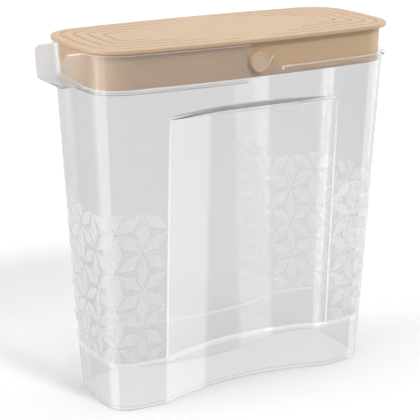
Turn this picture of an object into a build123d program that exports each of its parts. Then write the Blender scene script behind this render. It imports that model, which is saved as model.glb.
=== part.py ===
from build123d import *
import os
from math import cos, pi, radians, sin, sqrt

# Laundry powder container: a clear tub with a pouring spout and a see-saw lid that turns on two studs.
# Sizes are in millimetres. X runs along the tub with the spout at -X, the front is at -Y and Z is up.

# Heights
overall_height = 250.0
floor_height = 34.2
grip_top = 202.1

# Tub outline at the foot, and at the level of the lid skirt's lower edge
foot_half_length = 103.0
foot_half_width = 37.9
foot_corner_radius = 16.0
shoulder_half_length = 114.0
shoulder_half_width = 47.9
shoulder_corner_radius = 23.5
side_bow_radius = 1060.0
end_bow_radius = 265.0

# Tub details
wall = 1.6
foot_rim_height = 3.2
foot_rim_inset = 0.6
grip_half_width = 64.9
grip_depth = 12.5
grip_edge_radius = 0.8
floor_round = 1.2
collar_round = 0.6
ledge_width = 1.5
ledge_height = 1.2
ledge_drop = 1.8
ledge_end_gap = 8.0

# Low rim on the right half of the collar, with its outward bead
rim_overlap = 5.8
bead_width = 2.0
bead_height = 2.2
bead_round = 0.8

# Pouring spout
spout_reach = 14.6
spout_half_width = 17.6
spout_flare = 4.0
spout_wall = 1.4
spout_rise = 0.8
spout_corner_radius = 6.0

# Lid
plate_thickness = 2.8
plate_overhang = 4.6
plate_top_round = 0.8
plate_bottom_round = 0.6
plate_gap = 0.9
skirt_depth = 23.5
skirt_thickness = 1.6
skirt_gap = 0.7
skirt_draft = 0.4

# Grooves in the lid's top, nested at each end
groove_count = 4
groove_inset = 6.1
groove_pitch = 8.5
groove_width = 1.2
groove_depth = 0.5
groove_corner_radius = 6.0
groove_leg_end = 12.0
groove_leg_step = 17.6

# Pivot studs and the cradles that they sit in
pivot_x = 0.0
pivot_rise = 10.6
journal_radius = 7.5
running_clearance = 0.1
cap_radius = 6.6
cap_proud = 0.9
ring_recess = 0.8
dish_radius = 4.9
dish_depth = 0.3
shank_radius = 4.0
head_radius = 5.2
head_thickness = 1.2
stud_play = 0.3
cradle_flank_angle = 28.0
cradle_tip_rise = 3.0
cradle_tip_width = 1.1
cradle_fall_length = 6.2
cradle_fall_sag = 1.5

# How far a cutting block runs past the face that it cuts
cut_past = 2.0

# Levels and places worked out from the sizes above
plate_underside = overall_height - plate_thickness
skirt_bottom = plate_underside - skirt_depth
collar_top = plate_underside - plate_gap
low_rim = skirt_bottom + rim_overlap
pivot_z = skirt_bottom + pivot_rise
spout_floor = skirt_bottom + spout_rise + spout_wall
grip_radius = (grip_half_width**2 + grip_depth**2) / (2 * grip_depth)
spout_end_x = -(shoulder_half_length + spout_reach)
reach = 2 * shoulder_half_length


def at_height(z):
    """Half length, half width and corner radius of the tub's outside at a height."""
    share = z / skirt_bottom
    return (
        foot_half_length + (shoulder_half_length - foot_half_length) * share,
        foot_half_width + (shoulder_half_width - foot_half_width) * share,
        foot_corner_radius + (shoulder_corner_radius - foot_corner_radius) * share,
    )


def outline(half_length, half_width, corner_radius):
    """Rounded oblong whose long sides and ends bow gently outwards."""
    side_shift = side_bow_radius - half_width
    end_shift = end_bow_radius - half_length
    sides = Pos(0, side_shift) * Circle(side_bow_radius) & Pos(0, -side_shift) * Circle(side_bow_radius)
    ends = Pos(end_shift, 0) * Circle(end_bow_radius) & Pos(-end_shift, 0) * Circle(end_bow_radius)
    oblong = sides & ends
    return fillet(oblong.vertices(), corner_radius)


def tub_section(z, inset):
    half_length, half_width, corner_radius = at_height(z)
    return Pos(0, 0, z) * outline(half_length - inset, half_width - inset, corner_radius - inset)


def grip_section(z, side, grow):
    """Large circle whose edge is the hollow of one hand grip; side is -1 for the front."""
    half_width = at_height(z)[1]
    edge_y = half_width - side_bow_radius + sqrt(side_bow_radius**2 - grip_half_width**2)
    centre_y = edge_y - grip_depth + grip_radius
    return Pos(0, side * centre_y, z) * Circle(grip_radius + grow)


def tub_block(bottom, top, inset):
    """Tapered block of the tub between two heights, drawn in by inset, with both grips cut away."""
    block = loft([tub_section(bottom, inset), tub_section(top, inset)], ruled=True)
    grip_end = min(top, grip_top + inset)
    if grip_end > bottom:
        for side in (-1, 1):
            block -= loft([grip_section(bottom, side, inset), grip_section(grip_end, side, inset)], ruled=True)
    return block


def make_bead():
    """Outward bead round the low right half of the rim."""
    half_length, half_width, corner_radius = at_height(low_rim)
    ring = outline(half_length + bead_width, half_width + bead_width, corner_radius + bead_width)
    ring = Pos(0, 0, low_rim - bead_height) * extrude(ring, bead_height)
    ring = fillet(ring.faces().sort_by(Axis.Z)[-1].edges() + ring.faces().sort_by(Axis.Z)[0].edges(), bead_round)
    start_x = pivot_x + cradle_fall_end()
    return ring & Pos(start_x, 0, low_rim) * Box(reach, reach, reach, align=(Align.MIN, Align.CENTER, Align.CENTER))


def cradle_tip_x():
    """Distance of the cradle's snap tip from the pivot axis, where the flank leaves the bearing circle."""
    radius = journal_radius + running_clearance
    angle = radians(cradle_flank_angle)
    start_x = radius * cos(angle)
    climb = cradle_tip_rise + radius * sin(angle)
    return start_x + climb * sin(angle) / cos(angle)


def cradle_fall_end():
    return cradle_tip_x() + cradle_tip_width + cradle_fall_length


def make_rim_cut():
    """What is cut from the collar: the low right half, and a cradle open to the top for each stud."""
    radius = journal_radius + running_clearance
    angle = radians(cradle_flank_angle)
    low = low_rim - pivot_z
    high = overall_height - pivot_z
    flank_start = (radius * cos(angle), -radius * sin(angle))
    middle = (pi - angle) / 2
    bottom = (-radius * cos(middle), -radius * sin(middle))
    tip = (cradle_tip_x(), cradle_tip_rise)
    tip_end = (tip[0] + cradle_tip_width, cradle_tip_rise)
    fall_end = (cradle_fall_end(), low)
    edges = [
        Line((-radius, high), (-radius, 0)),
        ThreePointArc((-radius, 0), bottom, flank_start),
        Line(flank_start, tip),
        Line(tip, tip_end),
        SagittaArc(tip_end, fall_end, -cradle_fall_sag),
        Polyline(fall_end, (reach, low), (reach, high), (-radius, high)),
    ]
    profile = Plane.XZ * make_face(Curve() + edges)
    return Pos(pivot_x, 0, pivot_z) * extrude(profile, reach, both=True)


def make_spout():
    """Open channel with a floor and two sides that lean outwards, rounded at the outer top corners."""
    depth = collar_top - spout_floor
    half_width = spout_half_width + spout_wall + spout_flare
    end_sag = end_bow_radius - sqrt(end_bow_radius**2 - half_width**2)
    root_x = -shoulder_half_length + end_sag + wall / 2
    outer = Polygon(
        (-spout_half_width - spout_wall, -spout_wall),
        (spout_half_width + spout_wall, -spout_wall),
        (spout_half_width + spout_wall + spout_flare, depth),
        (-spout_half_width - spout_wall - spout_flare, depth),
        align=None,
    )
    section = Plane.YZ.offset(spout_end_x) * (outer - spout_opening_section())
    channel = Pos(0, 0, spout_floor) * extrude(section, root_x - spout_end_x)
    side_view = Polygon(
        (spout_end_x, spout_floor - spout_wall),
        (root_x, spout_floor - spout_wall),
        (root_x, collar_top),
        (spout_end_x, collar_top),
        align=None,
    )
    top_corner = side_view.vertices().sort_by(Axis.Y)[-2:].sort_by(Axis.X)[0]
    side_view = fillet(top_corner, spout_corner_radius)
    return channel & extrude(Plane.XZ * side_view, reach, both=True)


def spout_opening_section():
    depth = collar_top - spout_floor
    lean = spout_flare / depth
    high = depth + cut_past
    return Polygon(
        (-spout_half_width, 0),
        (spout_half_width, 0),
        (spout_half_width + lean * high, high),
        (-spout_half_width - lean * high, high),
        align=None,
    )


def make_ledge():
    """Thin rib inside the left half of the tub, just under the lid's skirt."""
    top = skirt_bottom - ledge_drop
    bottom = top - ledge_height
    ring = loft([tub_section(bottom, wall / 2), tub_section(top, wall / 2)], ruled=True)
    inside = wall + ledge_width
    ring -= loft([tub_section(bottom - cut_past, inside), tub_section(top + cut_past, inside)], ruled=True)
    end_x = pivot_x - ledge_end_gap
    return ring & Pos(end_x, 0, top) * Box(reach, reach, reach, align=(Align.MAX, Align.CENTER, Align.CENTER))


def grip_edges(block):
    """The four long upright edges where a grip's hollow meets the flat of a long side."""
    upright = [edge for edge in block.edges() if edge.bounding_box().size.Z > grip_top / 2]
    return [edge for edge in upright if abs(abs(edge.center().X) - grip_half_width) < grip_depth / 2]


def make_container():
    body = tub_block(foot_rim_height, collar_top, 0)
    body = fillet(grip_edges(body), grip_edge_radius)
    body = fillet(body.faces().sort_by(Axis.Z)[-1].edges(), collar_round)
    body += tub_block(0, foot_rim_height, foot_rim_inset)
    body += make_bead()
    body += make_spout()
    cavity = tub_block(floor_height, overall_height, wall)
    body -= fillet(cavity.faces().sort_by(Axis.Z)[0].edges(), floor_round)
    body -= tub_block(0, floor_height - wall, wall)
    body += make_ledge()
    body -= make_rim_cut()
    opening = Plane.YZ.offset(spout_end_x) * spout_opening_section()
    return body - Pos(0, 0, spout_floor) * extrude(opening, spout_reach + wall + cut_past)


def make_lid():
    half_length, half_width, corner_radius = at_height(skirt_bottom)
    to_skirt = wall + skirt_gap
    skirt = (half_length - to_skirt, half_width - to_skirt, corner_radius - to_skirt)
    plate = [size + plate_overhang for size in skirt]
    body = Pos(0, 0, plate_underside) * extrude(outline(*plate), plate_thickness)
    body = fillet(body.faces().sort_by(Axis.Z)[-1].edges(), plate_top_round)
    body = fillet(body.faces().sort_by(Axis.Z)[0].edges(), plate_bottom_round)
    body -= make_grooves(plate)
    body += skirt_block(skirt, 0)
    body -= skirt_block(skirt, skirt_thickness)
    hole = Rot(90, 0, 0) * Cylinder(shank_radius + running_clearance, reach)
    return body - Pos(pivot_x, 0, pivot_z) * hole


def skirt_block(skirt, inset):
    upper = [size - inset for size in skirt]
    lower = [size - skirt_draft for size in upper]
    return loft(
        [Pos(0, 0, skirt_bottom) * outline(*lower), Pos(0, 0, plate_underside) * outline(*upper)], ruled=True
    )


def make_grooves(plate):
    """Nested U-shaped grooves at each end; each one inwards starts further from the middle."""
    floor = overall_height - groove_depth
    grooves = []
    for number in range(groove_count):
        inset = groove_inset + number * groove_pitch
        leg_end = groove_leg_end + number * groove_leg_step
        ring = groove_outline(plate, inset) - groove_outline(plate, inset + groove_width)
        gap = Pos(0, 0, floor) * Box(2 * leg_end, reach, reach)
        grooves.append(Pos(0, 0, floor) * extrude(ring, plate_thickness) - gap)
    return grooves


def groove_outline(plate, inset):
    half_length, half_width, corner_radius = plate
    return outline(half_length - inset, half_width - inset, max(corner_radius - inset, groove_corner_radius))


def make_stud(side):
    """Pivot stud: a dished cap, the journal in its cradle, a shank through the skirt and a snap head."""
    share = (pivot_z - skirt_bottom) / skirt_depth
    skirt_y = shoulder_half_width - wall - skirt_gap - skirt_draft * (1 - share)
    collar_y = at_height(pivot_z)[1]
    seat = skirt_y + stud_play
    face = collar_y + cap_proud
    head = skirt_y - skirt_thickness - stud_play
    stud = cylinder_between(journal_radius, seat, collar_y - ring_recess)
    stud += cylinder_between(cap_radius, seat, face)
    stud -= cylinder_between(dish_radius, face - dish_depth, face + dish_depth)
    stud += cylinder_between(shank_radius, head - head_thickness, seat)
    stud += cylinder_between(head_radius, head - head_thickness, head)
    stud = Pos(pivot_x, 0, pivot_z) * Rot(-90, 0, 0) * stud
    return stud if side > 0 else mirror(stud, about=Plane.XZ)


def cylinder_between(radius, start, end):
    return Pos(0, 0, start) * extrude(Circle(radius), end - start)


# The origin moves to the middle of the overall footprint, on the resting plane
right_reach = max(shoulder_half_length - wall - skirt_gap + plate_overhang, at_height(low_rim)[0] + bead_width)
shift = Pos((-spout_end_x - right_reach) / 2, 0, 0)

nodes = {
    "container": make_container(),
    "lid": make_lid(),
    "front_pivot_stud": make_stud(-1),
    "rear_pivot_stud": make_stud(1),
}

os.makedirs("parts", exist_ok=True)
for name, solid in nodes.items():
    export_step(shift * solid, f"parts/{name}.step")
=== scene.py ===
from math import acos, atan2, cos, pi, radians, sin, sqrt

import bmesh
import bpy
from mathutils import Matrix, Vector


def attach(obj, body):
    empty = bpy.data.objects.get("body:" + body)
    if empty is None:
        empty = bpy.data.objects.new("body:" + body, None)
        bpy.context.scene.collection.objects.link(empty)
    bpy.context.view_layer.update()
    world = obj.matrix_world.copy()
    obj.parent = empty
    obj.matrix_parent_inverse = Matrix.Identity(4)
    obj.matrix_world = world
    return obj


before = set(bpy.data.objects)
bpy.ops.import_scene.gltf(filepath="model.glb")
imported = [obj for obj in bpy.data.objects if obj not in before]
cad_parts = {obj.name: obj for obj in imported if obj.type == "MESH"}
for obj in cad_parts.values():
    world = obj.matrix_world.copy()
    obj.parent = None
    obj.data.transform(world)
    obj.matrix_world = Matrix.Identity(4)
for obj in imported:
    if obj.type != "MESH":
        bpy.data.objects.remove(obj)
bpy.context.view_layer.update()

millimetre = 0.001
print("frame loaded:", ", ".join(sorted(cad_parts)))


# Small helpers

def hexColour(code):
    channels = [int(code[i:i + 2], 16) / 255 for i in (1, 3, 5)]
    linear = [c / 12.92 if c <= 0.04045 else ((c + 0.055) / 1.055) ** 2.4 for c in channels]
    return (*linear, 1.0)


def addNode(tree, kind, settings={}, inputs={}):
    node = tree.nodes.new("ShaderNode" + kind)
    for name, value in settings.items():
        setattr(node, name, value)
    for name, value in inputs.items():
        if isinstance(value, bpy.types.NodeSocket):
            tree.links.new(value, node.inputs[name])
        else:
            node.inputs[name].default_value = value
    return node


def newMaterial(name):
    material = bpy.data.materials.new(name)
    material.use_nodes = True
    material.node_tree.nodes.clear()
    return material


def wear(node, material):
    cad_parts[node].data.materials.clear()
    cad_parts[node].data.materials.append(material)


# Camera, where the photograph was taken from

camera = {
    "place": (-0.46425, -0.80142, 0.40802),
    "pitchDown": 0.30054,
    "turn": -0.52141,
    "lens": 118.21,
}


def makeCamera():
    data = bpy.data.cameras.new("photoCamera")
    data.lens = camera["lens"]
    eye = bpy.data.objects.new("photoCamera", data)
    eye.location = camera["place"]
    eye.rotation_euler = (pi / 2 - camera["pitchDown"], 0, camera["turn"])
    bpy.context.scene.collection.objects.link(eye)
    bpy.context.scene.camera = eye


makeCamera()
print("camera ready")


# Clear tub: injection-moulded clear polypropylene from a polished mould, a see-through wall with sharp gloss

tub = {
    "tint": "#EFEFEF",             # what one wall lets through; clear polypropylene is always a little milky
    "tintThick": "#ECECEC",
    "tintFloor": "#FFFFFF",        # the raised floor shows as little more than its edge
    "tintBase": "#FBFBFB",         # the hollow base under it, drawn nearly clear, since its grey is painted on the face seen first
    "paintedBaseShade": "#D8D8D8",  # painted shade: the face of the base that is seen first is drawn grey, which makes the whole base evenly grey
    "tintCollar": "#EDEDEF",       # clear enough for the lid's colour to come through
    # painted shade: the spout, and flat faces seen through more than one wall, drawn darker
    "paintedSpoutShade": "#CBC9C9",
    "paintedStepLine": "#B8B8B8",         # painted shade: a dark line drawn at the small step over the foot, where the light is bent away
    "hazeColour": "#D8D8D8",
    "haze": 0.01,                  # crystals in the plastic scatter a little white light back
    "collarHaze": 0.075,
    "spoutHaze": 0.1,
    "paintedEdgeHighlight": 0.5,                # painted highlight: white haze laid on the rim and the edges, where light that runs along the clear wall leaves
    "lowRimShare": 0.6,            # half hidden by the bead, the low rim gets less of the painted highlight
    "flowSize": 45 * millimetre,   # slow waves left by the melt as it filled the mould
    "flowHeight": millimetre,
    "flowDepth": 0.02,
    "roughness": 0.04,
    "indexOfRefraction": 1.04,     # so thin a wall hardly moves what lies behind it
    "glossIndex": 1.49,            # the plastic's own, for what its surface mirrors
    "glossRoughness": 0.03,
    "gloss": 1.0,
    "floorGloss": 0.1,
    "collarGloss": 0.45,
    "lampsThrough": "#D6D6D6",     # what is left of the lamps' light behind one face
}
tubShape = {                       # the tub's outside, as it was modelled, all in millimetres
    "footHalfLength": 103.0,
    "footHalfWidth": 37.9,
    "footCorner": 16.0,
    "topHalfLength": 114.0,
    "topHalfWidth": 47.9,
    "topCorner": 23.5,
    "topHeight": 223.7,
    "sideBow": 1060.0,
    "endBow": 265.0,
    "middleX": 6.15,               # the spout sticks out at one end, so the tub's middle isn't the part's
    "gripHalfWidth": 64.9,
}
tubPlaces = {                      # where each look begins or ends on the tub, and half the height of a line
    "lowStep": 0.4 * millimetre,
    "highStep": 3.3 * millimetre,
    "stepHalf": 0.35 * millimetre,
    "baseTop": 31.8 * millimetre,
    "floorLevel": 33.4 * millimetre,
    "floorHalf": 1.1 * millimetre,
    "gripMiddle": 118 * millimetre,
    "gripHalfHeight": 84 * millimetre,
    "gripEdge": tubShape["gripHalfWidth"] * millimetre,
    "gripEdgeHalf": 0.7 * millimetre,
    "middleX": tubShape["middleX"] * millimetre,
    "cutLevel": 224.5 * millimetre,
    "cutHalf": 26 * millimetre,
    "lowRimLevel": 229.4 * millimetre,
    "lowRimHalf": 0.25 * millimetre,
    "rimLevel": 245.6 * millimetre,
    "spoutRoot": -109.6 * millimetre,
    "spoutCheek": -16 * millimetre,
    "flatFace": 0.7,               # a face looks up or down when its normal's height is past this
    "crossFace": 0.5,              # and along the tub when its normal's depth is under this
    "oneFace": 0.5,                # how many faces the eye's ray has passed, with two to each wall
    "oneWall": 1.5,
    "twoWalls": 3.5,
}
tubMasks = (                       # name, sum and inputs: each is a place above, a coordinate or a mask
    ("upward", "ABSOLUTE", "normalZ"),
    ("flat", "GREATER_THAN", "upward", "flatFace"),
    ("atFloor", "COMPARE", "z", "floorLevel", "floorHalf"),
    ("onFloor", "MULTIPLY", "flat", "atFloor"),
    ("first", "LESS_THAN", "passed", "oneFace"),
    ("near", "LESS_THAN", "passed", "twoWalls"),
    ("low", "LESS_THAN", "z", "baseTop"),
    ("onBase", "MULTIPLY", "low", "near"),
    ("outsideBase", "MULTIPLY", "onBase", "first"),
    ("onCollar", "GREATER_THAN", "z", "cutLevel"),
    ("pastRoot", "LESS_THAN", "x", "spoutRoot"),
    ("behindCheek", "GREATER_THAN", "y", "spoutCheek"),
    ("atSpout", "MULTIPLY", "pastRoot", "behindCheek"),
    ("deep", "GREATER_THAN", "passed", "oneWall"),
    ("deepFlat", "MULTIPLY", "deep", "flat"),
    ("onSpout", "GREATER_THAN", "atSpout", "deepFlat"),
    ("atLowStep", "COMPARE", "z", "lowStep", "stepHalf"),
    ("atHighStep", "COMPARE", "z", "highStep", "stepHalf"),
    ("atStep", "MAXIMUM", "atLowStep", "atHighStep"),
    ("onStep", "MULTIPLY", "atStep", "first"),
    ("fromMiddle", "SUBTRACT", "x", "middleX"),
    ("sideways", "ABSOLUTE", "fromMiddle"),
    ("atGripEdge", "COMPARE", "sideways", "gripEdge", "gripEdgeHalf"),
    ("besideGrip", "COMPARE", "z", "gripMiddle", "gripHalfHeight"),
    ("onGripEdge", "MULTIPLY", "atGripEdge", "besideGrip"),
    ("atLowRim", "COMPARE", "z", "lowRimLevel", "lowRimHalf"),
    ("towardsRight", "GREATER_THAN", "x", "cutHalf"),
    ("onLowRim", "MULTIPLY", "atLowRim", "towardsRight"),
    ("faintRim", "MULTIPLY", "onLowRim", "lowRimShare"),
    ("backward", "ABSOLUTE", "normalY"),
    ("crossways", "LESS_THAN", "backward", "crossFace"),
    ("nearStud", "LESS_THAN", "sideways", "cutHalf"),
    ("cutFace", "MULTIPLY", "crossways", "nearStud"),
    ("onCut", "MULTIPLY", "cutFace", "onCollar"),
    # the rim and edge masks below place the painted highlight on the first face seen
    ("onTop", "GREATER_THAN", "z", "rimLevel"),
    ("topOrGrip", "MAXIMUM", "onTop", "onGripEdge"),
    ("anyRim", "MAXIMUM", "topOrGrip", "faintRim"),
    ("anyEdge", "MAXIMUM", "anyRim", "onCut"),
    ("onEdge", "MULTIPLY", "anyEdge", "first"),
)


def makeMasks(tree, found):
    for name, operation, *inputs in tubMasks:
        values = {i: found[value] for i, value in enumerate(inputs)}
        found[name] = addNode(tree, "Math", {"operation": operation}, values).outputs[0]
    return found


def clearPolypropylene():
    material = newMaterial("clearPolypropyleneMoulded")
    tree = material.node_tree
    place = addNode(tree, "TexCoord").outputs["Object"]
    flow = addNode(tree, "TexNoise", {}, {"Vector": place, "Scale": 1 / tub["flowSize"], "Detail": 2.0})
    tint = addNode(tree, "Mix", {"data_type": "RGBA"}, {
        0: flow.outputs["Fac"], 6: hexColour(tub["tint"]), 7: hexColour(tub["tintThick"])}).outputs[2]
    at = addNode(tree, "SeparateXYZ", {}, {0: place}).outputs
    facing = addNode(tree, "NewGeometry").outputs["Normal"]
    normal = addNode(tree, "SeparateXYZ", {}, {0: facing}).outputs
    path = addNode(tree, "LightPath").outputs
    masks = makeMasks(tree, {
        **tubPlaces, "lowRimShare": tub["lowRimShare"], "x": at["X"], "y": at["Y"], "z": at["Z"],
        "normalY": normal["Y"], "normalZ": normal["Z"], "passed": path["Transmission Depth"]})
    # tints by place: the grey of the base's first face, the darker spout and the foot's dark step line are
    # painted shade
    for where, colour in (("onBase", "tintBase"), ("outsideBase", "paintedBaseShade"),
                          ("onFloor", "tintFloor"), ("onCollar", "tintCollar"),
                          ("onSpout", "paintedSpoutShade"), ("onStep", "paintedStepLine")):
        tint = addNode(tree, "Mix", {"data_type": "RGBA"}, {
            0: masks[where], 6: tint, 7: hexColour(tub[colour])}).outputs[2]
    coat = addNode(tree, "MapRange", {}, {
        "Value": masks["onFloor"], "To Min": tub["gloss"], "To Max": tub["floorGloss"]}).outputs[0]
    gloss = addNode(tree, "MapRange", {}, {
        "Value": masks["onCollar"], "To Min": coat, "To Max": tub["collarGloss"]}).outputs[0]
    waves = addNode(tree, "Bump", {}, {
        "Strength": tub["flowDepth"], "Distance": tub["flowHeight"], "Height": flow.outputs["Fac"]})
    plastic = addNode(tree, "BsdfPrincipled", {}, {
        "Base Color": tint, "Roughness": tub["roughness"], "IOR": tub["indexOfRefraction"],
        "Transmission Weight": 1.0, "Coat Weight": gloss, "Coat IOR": tub["glossIndex"],
        "Coat Roughness": tub["glossRoughness"], "Normal": waves.outputs["Normal"]})
    haze = tub["haze"]
    # more haze on the collar and the spout, and a painted highlight on the rim and the edges
    for where, amount in (("onCollar", "collarHaze"), ("onSpout", "spoutHaze"), ("onEdge", "paintedEdgeHighlight")):
        haze = addNode(tree, "MapRange", {}, {
            "Value": masks[where], "To Min": haze, "To Max": tub[amount]}).outputs[0]
    haze = addNode(tree, "Math", {"operation": "MULTIPLY"}, {0: haze, 1: coat}).outputs[0]
    back = addNode(tree, "BsdfDiffuse", {}, {"Color": hexColour(tub["hazeColour"])})
    onward = addNode(tree, "BsdfTranslucent", {}, {"Color": hexColour(tub["hazeColour"])})
    white = addNode(tree, "AddShader", {}, {0: back.outputs[0], 1: onward.outputs[0]})
    plastic = addNode(tree, "MixShader", {}, {0: haze, 1: plastic.outputs[0], 2: white.outputs[0]})
    shade = addNode(tree, "BsdfTransparent", {}, {"Color": hexColour(tub["lampsThrough"])})
    both = addNode(tree, "MixShader", {}, {
        0: path["Is Shadow Ray"], 1: plastic.outputs[0], 2: shade.outputs[0]})
    addNode(tree, "OutputMaterial", {}, {"Surface": both.outputs[0]})
    return material


wear("container", clearPolypropylene())
print("tub ready")


# Lid and studs: tan polypropylene from a fine spark-eroded mould, a soft satin sheen with a faint grain

lid = {
    "colour": "#D7B896",
    "colourDeep": "#D4B593",
    "mottleSize": 18 * millimetre,
    "grainSize": 0.9 * millimetre,  # really about a tenth of that, drawn coarser so that it shows
    "grainHeight": 0.2 * millimetre,
    "grainDepth": 0.06,
    "roughness": (0.38, 0.48),
    "indexOfRefraction": 1.49,
}
stud = {
    "colour": "#DDC3A9",
    "colourDeep": "#D4B99E",
    "mottleSize": 6 * millimetre,
    "grainSize": 0.6 * millimetre,  # drawn coarser, like the lid's
    "grainHeight": 0.2 * millimetre,
    "grainDepth": 0.04,
    "roughness": (0.34, 0.42),
    "indexOfRefraction": 1.49,
}


def tanPolypropylene(name, look):
    material = newMaterial(name)
    tree = material.node_tree
    place = addNode(tree, "TexCoord").outputs["Object"]
    mottle = addNode(tree, "TexNoise", {}, {"Vector": place, "Scale": 1 / look["mottleSize"], "Detail": 3.0})
    grain = addNode(tree, "TexNoise", {}, {"Vector": place, "Scale": 1 / look["grainSize"], "Detail": 2.0})
    colour = addNode(tree, "Mix", {"data_type": "RGBA"}, {
        0: mottle.outputs["Fac"], 6: hexColour(look["colour"]), 7: hexColour(look["colourDeep"])})
    rough = addNode(tree, "MapRange", {}, {
        "Value": grain.outputs["Fac"], "To Min": look["roughness"][0], "To Max": look["roughness"][1]})
    bump = addNode(tree, "Bump", {}, {
        "Strength": look["grainDepth"], "Distance": look["grainHeight"], "Height": grain.outputs["Fac"]})
    plastic = addNode(tree, "BsdfPrincipled", {}, {
        "Base Color": colour.outputs[2], "Roughness": rough.outputs[0],
        "IOR": look["indexOfRefraction"], "Normal": bump.outputs["Normal"]})
    addNode(tree, "OutputMaterial", {}, {"Surface": plastic.outputs[0]})
    return material


wear("lid", tanPolypropylene("tanPolypropyleneMoulded", lid))
studPlastic = tanPolypropylene("tanPolypropyleneStud", stud)
wear("front_pivot_stud", studPlastic)
wear("rear_pivot_stud", studPlastic)
print("lid and studs ready")


# Printed stars: white screen-print ink on the outside of both ends, matt and a little see-through

printed = {
    "columnStep": 19.0,          # round the tub, from one column of stars to the next
    "rowStep": 27.0,             # up the tub, from one star to the next
    "columns": 4,                # from an end's middle round to the front grip
    "lastColumn": {-1: 2, 1: 4},  # and to the back: on the spout's end no star shows past the back corner
    "top": 141.0,
    "bottom": 35.2,
    "edgeColumn": 3,             # this column stands as far from the tub's middle at every height
    "edgeColumnX": 83.4,
    "petalWidth": 8.7,
    "petalTipGap": 1.2,
    "petalSoftness": 0.07,
    "petalSteps": 6,
    "lift": 0.03,                # keeps the film clear of the wall under it
    "filmThickness": 0.04,
    "stripWidth": 1.5,           # the film bends round the tub in strips this wide
    "gripMargin": 1.0,           # the print stops this far from the grip's edge
    "ink": "#FAFAFA",
    "indexOfRefraction": 1.75,
    "cover": (0.9, 1.0),         # a thin ink film, a little uneven
    "inkGrain": 1.5 * millimetre,  # a real mesh mark is finer, drawn coarser so that it shows
    "lampsThrough": "#F0F0F0",
    "insideShare": 0.5,          # seen through the wall from inside, the ink is fainter
}


def outlineAt(z):
    share = z / tubShape["topHeight"]
    a, b, r = (tubShape["foot" + part] * (1 - share) + tubShape["top" + part] * share
               for part in ("HalfLength", "HalfWidth", "Corner"))
    side, end = tubShape["sideBow"], tubShape["endBow"]
    sideCentre, endCentre = Vector((0, b - side)), Vector((a - end, 0))
    across = endCentre - sideCentre            # the corner's centre lies where two circles meet
    gap = across.length
    along = ((side - r) ** 2 - (end - r) ** 2 + gap ** 2) / (2 * gap)
    off = sqrt((side - r) ** 2 - along ** 2)
    unit = across / gap
    corner = sideCentre + unit * along + Vector((unit.y, -unit.x)) * off
    endAngle = atan2(corner.y - endCentre.y, corner.x - endCentre.x)
    sideAngle = atan2(corner.y - sideCentre.y, corner.x - sideCentre.x)
    return r, sideCentre, endCentre, corner, endAngle, sideAngle


def onTub(z, s, end, lift):
    r, sideCentre, endCentre, corner, endAngle, sideAngle = outlineAt(z)
    side, endBow = tubShape["sideBow"], tubShape["endBow"]
    endLength = endBow * endAngle
    cornerLength = endLength + r * (sideAngle - endAngle)
    edgeLength = cornerLength + side * (acos(printed["edgeColumnX"] / side) - sideAngle)
    q = abs(s) * edgeLength / (printed["edgeColumn"] * printed["columnStep"])
    if q < endLength:
        centre, radius, angle = endCentre, endBow, q / endBow
    elif q < cornerLength:
        centre, radius, angle = corner, r, endAngle + (q - endLength) / r
    else:
        centre, radius, angle = sideCentre, side, sideAngle + (q - cornerLength) / side
    p = centre + Vector((cos(angle), sin(angle))) * (radius + lift)
    return Vector((end * p.x + tubShape["middleX"], p.y if s >= 0 else -p.y, z)) * millimetre


def starPetals(last):
    halfRow, step = printed["rowStep"] / 2, printed["columnStep"]
    petals = []
    for column in range(-printed["columns"], last + 1):
        odd = column % 2
        centre = printed["top"] - (0 if odd else halfRow) + printed["rowStep"]
        while centre > printed["bottom"] - printed["rowStep"]:
            here = Vector((column * step, centre))
            if abs(column) < printed["columns"]:
                petals.append((here, here + Vector((0, 2 * halfRow))))
            if column < last:
                petals.append((here, here + Vector((step, halfRow))))
                petals.append((here, here + Vector((step, -halfRow))))
            centre -= printed["rowStep"]
    return petals


def petalOutline(tipA, tipB):
    along = tipB - tipA
    half = along.length / 2 - printed["petalTipGap"]
    unit = along.normalized()
    across = Vector((-unit.y, unit.x))
    soft = printed["petalSoftness"]
    top = sqrt(1 + soft ** 2) - soft
    count = printed["petalSteps"]
    steps = [-1 + i / count for i in range(2 * count + 1)]
    width = [printed["petalWidth"] / 2 * (1 - (sqrt(u * u + soft * soft) - soft) / top) for u in steps]
    middle = (tipA + tipB) / 2
    left = [middle + unit * half * u + across * w for u, w in zip(steps, width)]
    right = [middle + unit * half * u - across * w for u, w in zip(steps[-2:0:-1], width[-2:0:-1])]
    return left + right


def cutMesh(mesh, place, normal, clear):
    geometry = mesh.verts[:] + mesh.edges[:] + mesh.faces[:]
    bmesh.ops.bisect_plane(
        mesh, geom=geometry, plane_co=(*place, 0), plane_no=(*normal, 0), clear_outer=clear)


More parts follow.
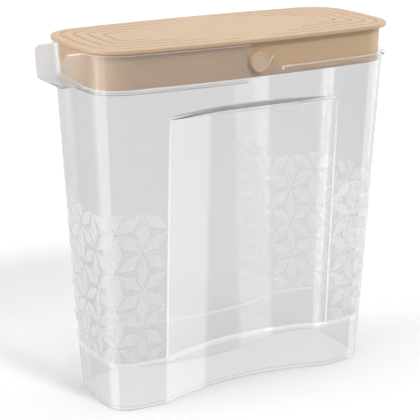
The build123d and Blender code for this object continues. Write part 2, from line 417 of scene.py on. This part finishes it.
def printStars(end):
    mesh = bmesh.new()
    for tipA, tipB in starPetals(printed["lastColumn"][end]):
        mesh.faces.new([mesh.verts.new((p.x, p.y, 0)) for p in petalOutline(tipA, tipB)])
    cutMesh(mesh, (0, printed["top"]), (0, 1), True)
    cutMesh(mesh, (0, printed["bottom"]), (0, -1), True)
    edge = printed["columns"] * printed["columnStep"]
    strips = int(2 * edge / printed["stripWidth"])
    for i in range(1, strips):
        cutMesh(mesh, (-edge + i * 2 * edge / strips, 0), (1, 0), False)
    for vertex in mesh.verts:
        vertex.co = onTub(vertex.co.y, vertex.co.x, end, printed["lift"])
    axis = Vector((tubShape["middleX"] * millimetre, 0, 0))
    for face in mesh.faces:
        face.normal_update()
    inward = [face for face in mesh.faces
              if face.normal.xy.dot((face.calc_center_median() - axis).xy) < 0]
    bmesh.ops.reverse_faces(mesh, faces=inward)
    gripEdge = tubShape["gripHalfWidth"] + printed["gripMargin"]
    cutMesh(mesh, ((end * gripEdge + tubShape["middleX"]) * millimetre, 0), (-end, 0), True)
    data = bpy.data.meshes.new("printedStars")
    mesh.to_mesh(data)
    mesh.free()
    stars = bpy.data.objects.new("printed_stars_" + ("left" if end < 0 else "right"), data)
    film = stars.modifiers.new("film", "SOLIDIFY")
    film.thickness = printed["filmThickness"] * millimetre
    film.offset = 1
    bpy.context.scene.collection.objects.link(stars)
    return stars


def screenInk():
    material = newMaterial("whiteScreenPrintInk")
    tree = material.node_tree
    place = addNode(tree, "TexCoord").outputs["Object"]
    grain = addNode(tree, "TexNoise", {}, {"Vector": place, "Scale": 1 / printed["inkGrain"], "Detail": 2.0})
    cover = addNode(tree, "MapRange", {}, {
        "Value": grain.outputs["Fac"], "To Min": printed["cover"][0], "To Max": printed["cover"][1]})
    surface = addNode(tree, "NewGeometry").outputs
    outward = addNode(tree, "VectorMath", {"operation": "SUBTRACT"}, {
        0: place, 1: (tubShape["middleX"] * millimetre, 0, 0)}).outputs[0]
    outward = addNode(tree, "VectorMath", {"operation": "MULTIPLY"}, {0: outward, 1: (1, 1, 0)}).outputs[0]
    outward = addNode(tree, "VectorMath", {"operation": "DOT_PRODUCT"},
                      {0: outward, 1: surface["Normal"]}).outputs["Value"]
    inside = addNode(tree, "Math", {"operation": "LESS_THAN"}, {0: outward, 1: 0.0}).outputs[0]
    fainter = addNode(tree, "MapRange", {}, {
        "Value": inside, "To Min": 1.0, "To Max": printed["insideShare"]})
    cover = addNode(tree, "Math", {"operation": "MULTIPLY"}, {0: cover.outputs[0], 1: fainter.outputs[0]})
    ink = addNode(tree, "BsdfPrincipled", {}, {
        "Base Color": hexColour(printed["ink"]), "Roughness": 1.0, "IOR": printed["indexOfRefraction"],
        "Transmission Weight": 1.0, "Alpha": cover.outputs[0]})
    gone = addNode(tree, "BsdfTransparent")    # each face covers only from its front, so the film counts once
    once = addNode(tree, "MixShader", {}, {
        0: surface["Backfacing"], 1: ink.outputs[0], 2: gone.outputs[0]})
    shade = addNode(tree, "BsdfTransparent", {}, {"Color": hexColour(printed["lampsThrough"])})
    path = addNode(tree, "LightPath").outputs
    both = addNode(tree, "MixShader", {}, {0: path["Is Shadow Ray"], 1: once.outputs[0], 2: shade.outputs[0]})
    addNode(tree, "OutputMaterial", {}, {"Surface": both.outputs[0]})
    return material


inkMaterial = screenInk()
for end in (-1, 1):
    stars = printStars(end)
    stars.data.materials.append(inkMaterial)
    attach(stars, "tub")
print("printed stars ready")


# Floor, light and studio: matt white backdrop paper, which shows nothing but the tub's shade

studio = {
    "floorHalf": 6.0,
    "floorSeen": "#FFFFFF",
    "floorBounce": "#BCBCBC",
    "air": 0.34,                 # the light that comes from all round
    "floorGlow": 0.09,           # the paper is lit from behind too
    "floorThrough": 0.25,        # how much of its shade shows through the clear tub
    "mirrored": 1.0,             # the white room that gloss shows
    "ceiling": 2.4,              # the brighter upper half of the room, as it comes through frosted ink
    "ceilingFrom": (-0.1, 0.3),  # heights of the look between which it brightens
    "panelEdge": 2,              # degrees over which a panel fades in
    "noBounce": 0.5,             # a count of bounces under this is none
}
panels = {                       # light panels and dark flags that gloss shows: azimuth, half width, glow
    "leftPanel": (-172, 27, 2.0),
    "rightPanel": (-27, 14, 1.7),
    "frontFlag": (-98, 58, 0.3),
    "backFlag": (120, 26, 0.45),
}
lamps = {                        # azimuth, elevation, angle and strength of each soft lamp
    "overhead": (-75, 84, 60, 0.52),
    "frontRight": (-75, 42, 11, 1.05),
    "leftSide": (174, 13, 60, 2.3),
    "rightSide": (-5, 12, 60, 0.8),
}


def howSeen(tree):
    path = addNode(tree, "LightPath").outputs
    unscattered = addNode(tree, "Math", {"operation": "LESS_THAN"},
                          {0: path["Diffuse Depth"], 1: studio["noBounce"]}).outputs[0]
    either = addNode(tree, "Math", {"operation": "MAXIMUM"},
                     {0: path["Is Transmission Ray"], 1: path["Is Glossy Ray"]}).outputs[0]
    either = addNode(tree, "Math", {"operation": "MULTIPLY"}, {0: either, 1: unscattered}).outputs[0]
    glossy = addNode(tree, "Math", {"operation": "GREATER_THAN"},
                     {0: path["Glossy Depth"], 1: studio["noBounce"]}).outputs[0]
    mirrored = addNode(tree, "Math", {"operation": "MULTIPLY"}, {0: either, 1: glossy}).outputs[0]
    through = addNode(tree, "Math", {"operation": "SUBTRACT"}, {0: either, 1: mirrored}).outputs[0]
    return path["Is Camera Ray"], through, mirrored


def makeFloor():
    mesh = bpy.data.meshes.new("floor")
    half = studio["floorHalf"]
    corners = [(-half, -half, 0), (half, -half, 0), (half, half, 0), (-half, half, 0)]
    mesh.from_pydata(corners, [], [(0, 1, 2, 3)])
    floor = bpy.data.objects.new("floor", mesh)
    bpy.context.scene.collection.objects.link(floor)
    material = newMaterial("whitePaperBackdrop")
    tree = material.node_tree
    direct, through, mirrored = howSeen(tree)
    seen = addNode(tree, "Math", {"operation": "MAXIMUM"}, {0: direct, 1: through}).outputs[0]
    colour = addNode(tree, "Mix", {"data_type": "RGBA"}, {
        0: seen, 6: hexColour(studio["floorBounce"]), 7: hexColour(studio["floorSeen"])})
    paper = addNode(tree, "BsdfDiffuse", {}, {"Color": colour.outputs[2]})
    glow = addNode(tree, "Math", {"operation": "MULTIPLY"}, {0: seen, 1: studio["floorGlow"]}).outputs[0]
    lit = addNode(tree, "Emission", {}, {"Strength": glow})
    paper = addNode(tree, "AddShader", {}, {0: paper.outputs[0], 1: lit.outputs[0]})
    gone = addNode(tree, "BsdfTransparent")
    through = addNode(tree, "Math", {"operation": "MULTIPLY"},
                      {0: through, 1: 1 - studio["floorThrough"]}).outputs[0]
    away = addNode(tree, "Math", {"operation": "MAXIMUM"}, {0: through, 1: mirrored}).outputs[0]
    surface = addNode(tree, "MixShader", {}, {0: away, 1: paper.outputs[0], 2: gone.outputs[0]})
    addNode(tree, "OutputMaterial", {}, {"Surface": surface.outputs[0]})
    mesh.materials.append(material)


def makeWorld():
    world = bpy.data.worlds.new("studioAir")
    bpy.context.scene.world = world
    world.use_nodes = True
    tree = world.node_tree
    tree.nodes.clear()
    direct, through, mirrored = howSeen(tree)
    towards = addNode(tree, "TexCoord").outputs["Generated"]
    flat = addNode(tree, "VectorMath", {"operation": "MULTIPLY"}, {0: towards, 1: (1, 1, 0)}).outputs[0]
    flat = addNode(tree, "VectorMath", {"operation": "NORMALIZE"}, {0: flat}).outputs[0]
    glow = addNode(tree, "Value").outputs[0]
    glow.default_value = studio["mirrored"]
    edge = studio["panelEdge"]
    for azimuth, halfWidth, strength in panels.values():
        middle = (cos(radians(azimuth)), sin(radians(azimuth)), 0)
        near = addNode(tree, "VectorMath", {"operation": "DOT_PRODUCT"},
                       {0: flat, 1: middle}).outputs["Value"]
        mask = addNode(tree, "MapRange", {"interpolation_type": "SMOOTHSTEP"}, {
            "Value": near,
            "From Min": cos(radians(halfWidth + edge)), "From Max": cos(radians(halfWidth - edge))})
        glow = addNode(tree, "Mix", {"data_type": "FLOAT"},
                       {0: mask.outputs[0], 2: glow, 3: strength}).outputs[0]
    height = addNode(tree, "SeparateXYZ", {}, {0: towards}).outputs["Z"]
    lowest, highest = studio["ceilingFrom"]
    ceiling = addNode(tree, "MapRange", {}, {
        "Value": height, "From Min": lowest, "From Max": highest,
        "To Min": 1.0, "To Max": studio["ceiling"]}).outputs[0]
    strength = addNode(tree, "MapRange", {}, {
        "Value": direct, "To Min": studio["air"], "To Max": 1.0}).outputs[0]
    for when, level in ((through, ceiling), (mirrored, glow)):
        strength = addNode(tree, "Mix", {"data_type": "FLOAT"}, {0: when, 2: strength, 3: level}).outputs[0]
    air = addNode(tree, "Background", {}, {"Color": (1, 1, 1, 1), "Strength": strength})
    addNode(tree, "OutputWorld", {}, {"Surface": air.outputs[0]})


def makeLamps():
    for name, (azimuth, elevation, spread, strength) in lamps.items():
        data = bpy.data.lights.new(name, "SUN")
        data.angle = radians(spread)
        data.energy = strength
        lamp = bpy.data.objects.new(name, data)
        lamp.rotation_euler = (pi / 2 - radians(elevation), 0, radians(azimuth) + pi / 2)
        bpy.context.scene.collection.objects.link(lamp)


makeFloor()
makeWorld()
makeLamps()
bpy.context.scene.view_settings.view_transform = "Standard"
print("studio ready")
